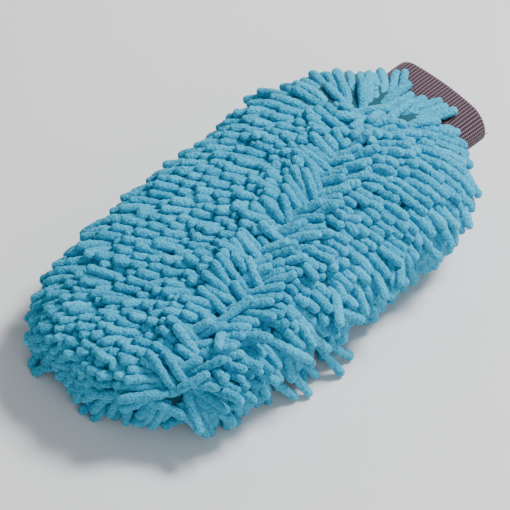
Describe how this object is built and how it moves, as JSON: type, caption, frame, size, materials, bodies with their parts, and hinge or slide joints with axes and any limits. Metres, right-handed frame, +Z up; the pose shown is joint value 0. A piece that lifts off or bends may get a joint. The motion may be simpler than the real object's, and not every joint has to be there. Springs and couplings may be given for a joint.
{
  "type": "wash mitt",
  "caption": "Padded wash mitt with long chenille strands on back and palm, a lined hand pocket and a short rib-knit cuff.",
  "frame": {"origin": "on the surface the mitt lies on, below the middle of its box", "axes": "+Y along the mitt from the fingertips to the cuff, +X across its width, +Z up out of the back of the hand"},
  "size_m": [0.182, 0.328, 0.0866],
  "materials": {
    "chenille": "soft matt microfibre chenille",
    "base_cloth": "matt woven polyester",
    "foam": "open-cell foam sheet",
    "lining": "smooth knitted polyester",
    "shell_thread": "spun polyester thread",
    "lining_thread": "spun polyester thread",
    "binding": "woven twill tape",
    "cuff_thread": "spun polyester thread",
    "cuff_knit": "elastic rib knit"
  },
  "bodies": {
    "mitt": {"back_chenille_pile": "chenille", "palm_chenille_pile": "chenille", "back_base_cloth": "base_cloth", "palm_base_cloth": "base_cloth", "back_foam_interliner": "foam", "palm_foam_interliner": "foam", "back_pocket_lining": "lining", "palm_pocket_lining": "lining", "shell_seam_thread": "shell_thread", "lining_seam_thread": "lining_thread", "cuff_seam_binding": "binding", "cuff_attachment_thread": "cuff_thread"},
    "cuff": {"cuff_rib_knit": "cuff_knit", "cuff_side_seam_thread": "cuff_thread"}
  },
  "joints": [
    {"name": "cuff_fold", "type": "hinge", "parent": "mitt", "child": "cuff", "pos_m": [0, 0.139, 0.049], "axis": [1, 0, 0], "range_deg": [-18, 18], "stiffness_Nm_per_rad": 0.05}
  ]
}
